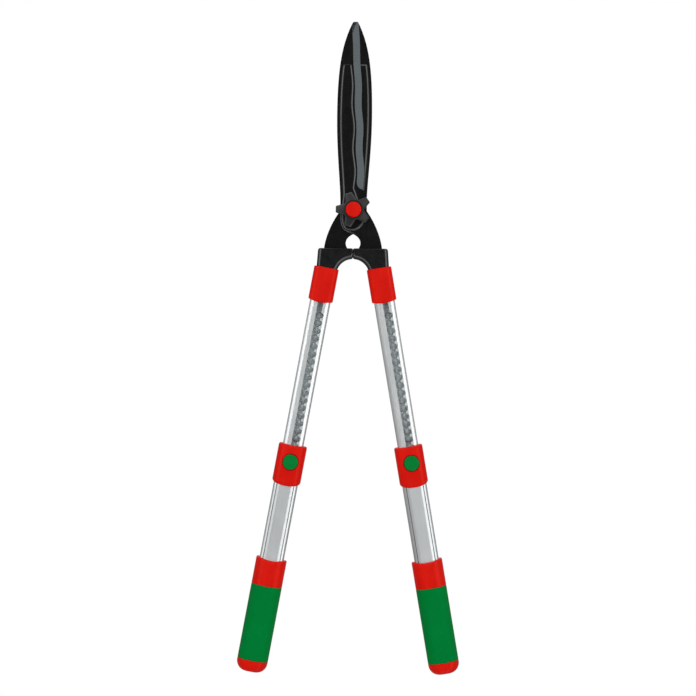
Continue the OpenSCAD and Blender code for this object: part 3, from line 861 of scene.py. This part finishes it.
def add_bumpers():
    """The black blocks between the tangs and the arms, which meet above the arch."""
    low = node_box("right_bumper", PIVOT)[0]
    rim = quarter(RIM_STEPS)
    outlines = [bumper_outline(*[pull * inset for pull in RIM_PULL]) for inset, _ in rim]
    # Painted highlight only where the rim rounds widely: on the outer side and along the arch.
    rolled = np.linalg.norm(outlines[0] - outlines[-1], axis=1)
    highlit_rim = smooth((rolled - 2.0) / 2.0)
    shares = RIM_HIGHLIGHT + (0.0,) * (len(rim) - len(RIM_HIGHLIGHT))
    for side, sign in SIDES.items():
        rings, painted_light = [], []
        for outline, (_, advance), share in zip(outlines, rim, shares):
            y = low[1] + RIM_DEPTH * advance
            rings.append(np.column_stack([sign * outline[:, 0], np.full(len(outline), y), outline[:, 1]]))
            painted_light.append(highlit_rim * share)
        rings += [ring * (1, -1, 1) for ring in rings[::-1]]
        painted_light += painted_light[::-1]
        piece = loft(f"{side}_bumper_block", rings, PIVOT, painted_light=np.concatenate(painted_light))
        dress(piece, f"{side}_upper", "black_plastic", [BLACK], f"{side}_bumper")


# Arms
INNER_R, INNER_WALL = 5.6, 1.5
OUTER_R, OUTER_WALL = 6.5, 1.6
NOTCH_PITCH = 10
NOTCH_R = 3.5
NOTCHES = 20
DOME_R, DOME_HEIGHT = 4.5, 2.4
# Depth of the broad faces' relief, as (distance from the middle, depth)
INNER_RELIEF = [(0, 0), (4, 0), (7.1, 0), (7.3, 0.5), (7.8, 0.5), (8.0, 0.1), (10.0, 0.05), (11.4, 0)]
GROOVE = (10.5, 11.3)
OUTER_RELIEF = [(0, 0), (3.5, 0), (7.4, 0), (7.6, 0.05), (10.3, 0.5), (GROOVE[0], 1.4), (GROOVE[1], 1.4),
                (11.5, 0.4), (13.2, 0)]


def section_of(node, side, r):
    """Half width, half depth and corner radius of an arm piece, from its CAD box."""
    low, high = node_box(node, ARM[side])
    return (high[0] - low[0]) / 2, (high[1] - low[1]) / 2, r


def widened(section, fit, rounder=0.0):
    """A section made larger all round by a fit."""
    return section[0] + fit, section[1] + fit, section[2] + rounder


def add_top_collar(side):
    """Red collar between the bumper and the slotted tube."""
    node = f"{side}_top_collar"
    low, high = node_box(node, ARM[side])
    section = section_of(node, side, 6.5)
    bore = widened(section_of(f"{side}_inner_tube", side, INNER_R), 0.15)
    sag = 2.5
    top = bowed(-high[2], 0, section[0])
    bottom = bowed(-low[2] - sag, sag, section[0])
    top_round, bottom_round = (0.9, 0.9, 0.9), (1.6, 0.8, 1.4)
    piece = sleeve(f"{node}_shell", ARM[side], section, bore, top, bottom, top_round, bottom_round)
    dress(piece, f"{side}_upper", "red_plastic", [RED], node)


def slot_outline(pin_x, last_w):
    """Outline of the slot with its notches, as (x, w) down the arm."""
    left = pin_x - NOTCH_R
    right = pin_x + NOTCH_R
    centre_x = right + 0.2
    top_w = last_w - (NOTCHES - 1) * NOTCH_PITCH - 22.5
    half = math.acos((right - centre_x) / NOTCH_R)
    points = [(left, top_w), (right, top_w)]
    for k in range(NOTCHES):
        w = last_w - (NOTCHES - 1 - k) * NOTCH_PITCH
        stop = half if k < NOTCHES - 1 else math.pi / 2
        for a in np.linspace(-half, stop, 13):
            points.append((centre_x + NOTCH_R * math.cos(a), w + NOTCH_R * math.sin(a)))
    for a in np.linspace(math.pi / 2, math.pi, 9):
        points.append((pin_x + NOTCH_R * math.cos(a), last_w + NOTCH_R * math.sin(a)))
    return np.array(points)


def tube_section(half_w, half_d, r, relief):
    """A rounded rectangle whose broad faces are lowered by a relief: (x, depth) from the middle out."""
    base_x = half_w - r
    last_x = relief[-1][0]

    def height(x):
        return half_d - r + math.sqrt(max(r * r - max(x - base_x, 0) ** 2, 0))

    start = math.acos(min(max((last_x - base_x) / r, 0), 1))
    corner = [(base_x + r * math.cos(a), half_d - r + r * math.sin(a)) for a in np.linspace(0, start, 8)]
    face = [(x, height(x) - depth) for x, depth in relief[-2::-1]]
    half = np.array([(half_w, 0)] + corner + face)
    upper = np.vstack([half, (half[:-1] * (-1, 1))[::-1]])
    return np.vstack([upper, (upper[1:-1] * (1, -1))[::-1]])


def tube_wall(name, side, outer, inner, low, high, painted_light=None):
    """A tube from its outer and inner outline."""
    rings = [np.column_stack([xy, np.full(len(xy), z)])
             for xy, z in ((outer, high), (outer, low), (inner, low), (inner, high))]
    return loft(name, rings, ARM[side], closed=True, painted_light=painted_light)


def wall_outlines(half_w, half_d, r, relief, wall):
    """Outer and inner outline of a tube with a relief."""
    outer = tube_section(half_w, half_d, r, relief)
    return outer, outer * ((half_w - wall) / half_w, (half_d - wall) / half_d)


def dome_profile(back):
    """Turned profile of a dome that stands on the inside of the back wall."""
    angles = np.linspace(0.25, math.pi / 2, 6)
    crown = [(DOME_R * math.sin(a), back - DOME_HEIGHT * math.cos(a)) for a in angles]
    return [(0, back - DOME_HEIGHT)] + crown + [(DOME_R, back + 0.3), (0, back + 0.3)]


def add_inner_tube(side):
    """Slotted upper tube with eased slot edges and a row of pressed domes on its back wall."""
    node = f"{side}_inner_tube"
    low, high = node_box(node, ARM[side])
    half_w, half_d, r = section_of(node, side, INNER_R)
    outer, inner = wall_outlines(half_w, half_d, r, INNER_RELIEF, INNER_WALL)
    tube = tube_wall(f"{node}_wall", side, outer, inner, low[2], high[2])
    pin_x, pin_z = round_node(f"{side}_button", side)[:2]
    outline = slot_outline(pin_x, -pin_z)
    rings = [np.column_stack([outline[:, 0], np.full(len(outline), y), -outline[:, 1]])
             for y in (-half_d - 1, -half_d + INNER_WALL + 0.6)]
    cut(tube, loft("slot_cutter", rings, ARM[side]))
    tube.data.materials.append(INNER_METAL)
    tube.data.materials.append(INSIDE)
    ease = tube.modifiers.new("eased_edges", "BEVEL")
    ease.width = 0.22 * MM
    ease.segments = 2
    ease.limit_method = "ANGLE"
    ease.angle_limit = math.radians(50)
    apply_modifiers(tube)
    profile = dome_profile(half_d - INNER_WALL)
    join(tube, [lathe(f"dome_{k}", profile, pin_x + 1.2, pin_z + k * NOTCH_PITCH, ARM[side], 24)
                for k in range(NOTCHES)])
    for face in tube.data.polygons:
        x, y, _ = face.center / MM
        if abs(x) < half_w - INNER_WALL + 0.1 and abs(y) < half_d - INNER_WALL + 0.1:
            face.material_index = 1
    dress(tube, f"{side}_upper", "tube_aluminium", [], node)


def add_outer_tube(side):
    """Lower tube: a flat middle, a facet on both sides of it and a groove before each corner."""
    node = f"{side}_outer_tube"
    low, high = node_box(node, ARM[side])
    outer, inner = wall_outlines(*section_of(node, side, OUTER_R), OUTER_RELIEF, OUTER_WALL)
    # Painted shade for the material in the grooves before each corner.
    groove_shade = np.isin(np.round(np.abs(outer[:, 0]), 2), GROOVE)
    tube = tube_wall(f"{node}_wall", side, outer, inner, low[2], high[2], np.tile(groove_shade, 4))
    dress(tube, f"{side}_lower", "tube_aluminium", [OUTER_METAL], node)


def add_lock_collar(side):
    """Red collar that carries the push button in a round pocket."""
    node = f"{side}_lock_collar"
    low, high = node_box(node, ARM[side])
    front, back = low[1], high[1]
    section = section_of(node, side, 9.5)
    bore = widened(section_of(f"{side}_inner_tube", side, INNER_R), 0.45, 0.4)
    socket = widened(section_of(f"{side}_outer_tube", side, OUTER_R), 0.05)
    top_sag, bottom_sag = 1.7, 3.6
    top = bowed(-high[2], top_sag, section[0])
    bottom = bowed(-low[2] - bottom_sag, bottom_sag, section[0])
    rings = outer_rings(section, top, bottom, (3.2, 1.2, 3.0), (4.2, 1.2, 3.2), rows=8)
    seat = mixed(top, bottom, 1, -12)
    rings += [section_ring(socket, 0, 0, bottom), section_ring(socket, 0, 0, seat),
              section_ring(bore, 0, 0, seat), section_ring(bore, 0, 0, top)]
    piece = loft(f"{node}_shell", rings, ARM[side], closed=True)

    x, z, button_r, _, button_back = round_node(f"{side}_button", side)
    pocket_r, floor = button_r + 0.4, button_back + 3.1
    profile = [(0, front - 2), (pocket_r + 1.5, front - 2), (pocket_r + 0.9, front - 0.1),
               (pocket_r + 0.35, front + 0.25), (pocket_r + 0.05, front + 0.7), (pocket_r, front + 1.2),
               (pocket_r, floor), (0, floor)]
    cut(piece, lathe("pocket_cutter", profile, x, z, ARM[side]))

    x, z, screw_r, _, _ = round_node(f"{side}_collar_screw", side)
    hole_r = screw_r + 0.1
    profile = [(0, back - 2.2), (hole_r, back - 2.2), (hole_r, back - 0.3),
               (hole_r + 0.5, back + 0.1), (hole_r + 0.5, back + 2), (0, back + 2)]
    cut(piece, lathe("counterbore_cutter", profile, x, z, ARM[side]))
    dress(piece, f"{side}_lower", "red_plastic", [RED], node)


def add_button(side):
    """Green push button with a rounded rim and a slightly dished face."""
    node = f"{side}_button"
    x, z, radius, front, back = round_node(node, side)
    rim, wall = 1.5, 1.6
    profile = [(0, front + 0.35), (radius - 5, front + 0.3), (radius - 3, front + 0.12),
               (radius - 2.2, front + 0.02)]
    profile += arc_profile(radius - rim, front + rim, rim, -90, 0, 7)
    profile += [(radius, back), (radius - wall, back), (radius - wall, front + 1.8), (0, front + 1.8)]
    piece = lathe(f"{node}_cap", profile, x, z, ARM[side])
    dress(piece, f"{side}_push_button", "green_button", [GREEN], node)


SLEEVE_T = 2.3
# Rounds of the handle's edges: inset across, inset in depth, length
HANDLE_TOP_ROUND = (3.0, 1.6, 3.0)
HANDLE_END_ROUND = (11.5, 8.5, 11.5)
SEAM_ROUND = (0.5, 0.5, 0.5)
GRIP_ROUND = (0.9, 0.9, 1.3)


def add_handle(side):
    """Hard core with a band and a rounded end, and the soft sleeve between them."""
    node, sleeve_node = f"{side}_handle_core", f"{side}_grip_sleeve"
    low, high = node_box(node, ARM[side])
    sleeve_low, sleeve_high = node_box(sleeve_node, ARM[side])
    section = section_of(node, side, 13)
    half_w, half_d = section[:2]
    top_sag, seam_sag, end_sag = 4, 0.9, 1.6
    top = bowed(-high[2], top_sag, half_w)
    upper_seam = bowed(-sleeve_high[2] - seam_sag / 2, seam_sag, half_w)
    lower_seam = bowed(-sleeve_low[2] - seam_sag / 2, seam_sag, half_w)
    end = bowed(-low[2] - end_sag, end_sag, half_w)
    bore = widened(section_of(f"{side}_outer_tube", side, OUTER_R), 0.05)
    bore_end = bowed(-sleeve_low[2] + 3, 0, half_w)
    rings = [section_ring(bore, 0, 0, bore_end), section_ring(bore, 0, 0, mixed(top, top, 0, 0.5)),
             section_ring(bore, -0.4, -0.4, top)]
    rings += outer_rings(section, top, upper_seam, HANDLE_TOP_ROUND, SEAM_ROUND)
    rings += [section_ring(section, SLEEVE_T, SLEEVE_T, seam) for seam in (upper_seam, lower_seam)]
    rings += outer_rings(section, lower_seam, end, SEAM_ROUND, HANDLE_END_ROUND, rows=1, steps=10)
    tip = section_ring(section, *HANDLE_END_ROUND[:2], end)
    centre = tip.mean(0)
    for share in (0.7, 0.4, 0.15):
        inner = centre + (tip - centre) * share
        inner[:, 2] = -end(inner[:, 0])
        rings.append(inner)
    piece = loft(f"{node}_shell", rings, ARM[side])
    dress(piece, f"{side}_lower", "red_plastic", [RED], node)

    hollow = (half_w - SLEEVE_T + 0.02, half_d - SLEEVE_T + 0.02, 10.7)
    grip_top, grip_end = mixed(upper_seam, lower_seam, 0, 0.05), mixed(upper_seam, lower_seam, 1, -0.05)
    grip = sleeve(f"{sleeve_node}_skin", ARM[side], section, hollow, grip_top, grip_end,
                  GRIP_ROUND, GRIP_ROUND, rows=12)
    dress(grip, f"{side}_lower", "grip_rubber", [RUBBER], sleeve_node)


def dress_nodes():
    """Materials of the CAD nodes that stay: pins, screws, washers, springs and bushes."""
    slots = {part["node"]: part["material_slot"] for part in frame["record"]["subparts"]}
    for name, node in frame["nodes"].items():
        if slots[name] in NODE_MATERIAL and not node.hide_render:
            node.data.materials.clear()
            node.data.materials.append(NODE_MATERIAL[slots[name]])


# Stage
class World(Nodes):
    """The world's node tree, with steps and ramps."""

    def __init__(self):
        world = bpy.data.worlds.new("studio")
        bpy.context.scene.world = world
        world.use_nodes = True
        super().__init__(world.node_tree)
        self.tree.nodes.clear()

    def step(self, value, start, end, low=0.0, high=1.0):
        return self.add("ShaderNodeMapRange", value, start, end, low, high,
                        interpolation_type="SMOOTHSTEP")[0]

    def ramp(self, value, stops):
        made = self.tree.nodes.new("ShaderNodeValToRGB")
        self.feed(made.inputs[0], value)
        made.color_ramp.interpolation = "EASE"
        while len(made.color_ramp.elements) < len(stops):
            made.color_ramp.elements.new(0.5)
        for element, (degrees, level) in zip(made.color_ramp.elements, stops):
            element.position = degrees / 180
            element.color = (level, level, level, 1)
        return made.outputs[0]

    def light(self, level):
        return self.add("ShaderNodeBackground", level, 1.0)[0]


# Levels of what a glossy surface mirrors, by degrees round the upright from straight in front
STUDIO_BASE = [(0, 0.17), (12, 0.17), (26, 0.36), (56, 0.3), (72, 0.22), (90, 0.4), (108, 0.3), (118, 0.22),
               (162, 0.22), (170, 0.5), (180, 0.5)]
STUDIO_BOX = [(0, 0.0), (13, 0.0), (22, 1.0), (50, 1.0), (64, 0.0), (180, 0.0)]
RIGHT_LEVEL = 1.45
LEFT_LEVEL = 1.5
# Levels of the fill light, by degrees away from straight in front
FILL = [(0, 1.24), (46, 1.18), (82, 0.4), (112, 0.16), (140, 0.16), (152, 1.0), (180, 1.0)]


def add_world():
    """White background, two tall softboxes and an overhead for gloss, and a fill mostly from the front."""
    w = World()
    x, y, z = w.add("ShaderNodeSeparateXYZ", w.add("ShaderNodeTexCoord")[0])[:3]
    turned = w.math("ARCTAN2", x, w.math("MULTIPLY", y, -1.0))
    heading = w.math("DIVIDE", w.math("ABSOLUTE", turned), math.pi)
    right = w.step(x, -0.02, 0.02, 0.0, RIGHT_LEVEL)
    left = w.math("MULTIPLY", w.step(x, 0.02, -0.02, 0.0, LEFT_LEVEL), w.step(z, -0.05, 0.06))
    boxes = w.math("MULTIPLY", w.ramp(heading, STUDIO_BOX), w.math("ADD", right, left))
    gloss = w.math("ADD", w.ramp(heading, STUDIO_BASE), boxes)
    overhead = w.step(z, 0.25, 0.7)
    gloss = w.math("ADD", w.math("MULTIPLY", gloss, w.math("SUBTRACT", 1.0, overhead)), overhead)
    off_front = w.math("DIVIDE", w.math("ARCCOSINE", w.math("MULTIPLY", y, -1.0)), math.pi)
    fill = w.math("MULTIPLY", w.ramp(off_front, FILL), w.step(z, -0.8, 0.8, 0.75, 1.15))
    fill = w.math("MULTIPLY", fill, w.step(x, -0.9, 0.9, 0.88, 1.12))
    path = w.add("ShaderNodeLightPath")
    lights = w.add("ShaderNodeMixShader", path["Is Glossy Ray"], w.light(fill), w.light(gloss))[0]
    seen = w.add("ShaderNodeMixShader", path["Is Camera Ray"], lights, w.light((1, 1, 1)))[0]
    w.add("ShaderNodeOutputWorld", seen)


# Floor and camera, in metres
FLOOR_HALF = 12.0
FLOOR_DROP = 0.03
FLOOR_BOUNCE = 0.55


def add_floor():
    """A pale floor under the handles: plain white to the eye, and a soft bounce from below."""
    level = cad_box[0].z - FLOOR_DROP
    corners = [(x * FLOOR_HALF, y * FLOOR_HALF, level) for x, y in ((-1, -1), (1, -1), (1, 1), (-1, 1))]
    mesh = bpy.data.meshes.new("floor")
    mesh.from_pydata(corners, [], [(0, 1, 2, 3)])
    floor = bpy.data.objects.new("floor", mesh)
    bpy.context.scene.collection.objects.link(floor)
    material = bpy.data.materials.new("pale_floor")
    material.use_nodes = True
    g = Nodes(material.node_tree)
    g.tree.nodes.clear()
    bounce = g.add("ShaderNodeEmission", (FLOOR_BOUNCE, FLOOR_BOUNCE, FLOOR_BOUNCE))[0]
    plain = g.add("ShaderNodeEmission")[0]
    seen = g.add("ShaderNodeLightPath")["Is Camera Ray"]
    g.add("ShaderNodeOutputMaterial", g.add("ShaderNodeMixShader", seen, bounce, plain)[0])
    mesh.materials.append(material)
    floor.visible_glossy = False


CAMERA_AWAY = 3.5
CAMERA_ASIDE = -0.0048
CAMERA_BELOW = 0.0004
CAMERA_ROLL = math.radians(0.7)


def add_camera():
    """A long lens square on to the front, turned a little about its own axis."""
    camera = bpy.data.cameras.new("camera")
    camera.lens = 142
    camera.sensor_width = 36
    eye = bpy.data.objects.new("camera", camera)
    middle = (cad_box[0] + cad_box[1]) / 2
    place = Vector((middle.x + CAMERA_ASIDE, -CAMERA_AWAY, middle.z - CAMERA_BELOW))
    eye.matrix_world = (Matrix.Translation(place) @ Matrix.Rotation(math.radians(90), 4, "X")
                        @ Matrix.Rotation(CAMERA_ROLL, 4, "Z"))
    bpy.context.scene.collection.objects.link(eye)
    bpy.context.scene.camera = eye


bpy.context.scene.view_settings.view_transform = "Standard"
add_camera()
add_world()
add_floor()
add_blades()
add_knob()
add_bumpers()
for arm_side in SIDES:
    add_top_collar(arm_side)
    add_inner_tube(arm_side)
    add_outer_tube(arm_side)
    add_lock_collar(arm_side)
    add_button(arm_side)
    add_handle(arm_side)
dress_nodes()
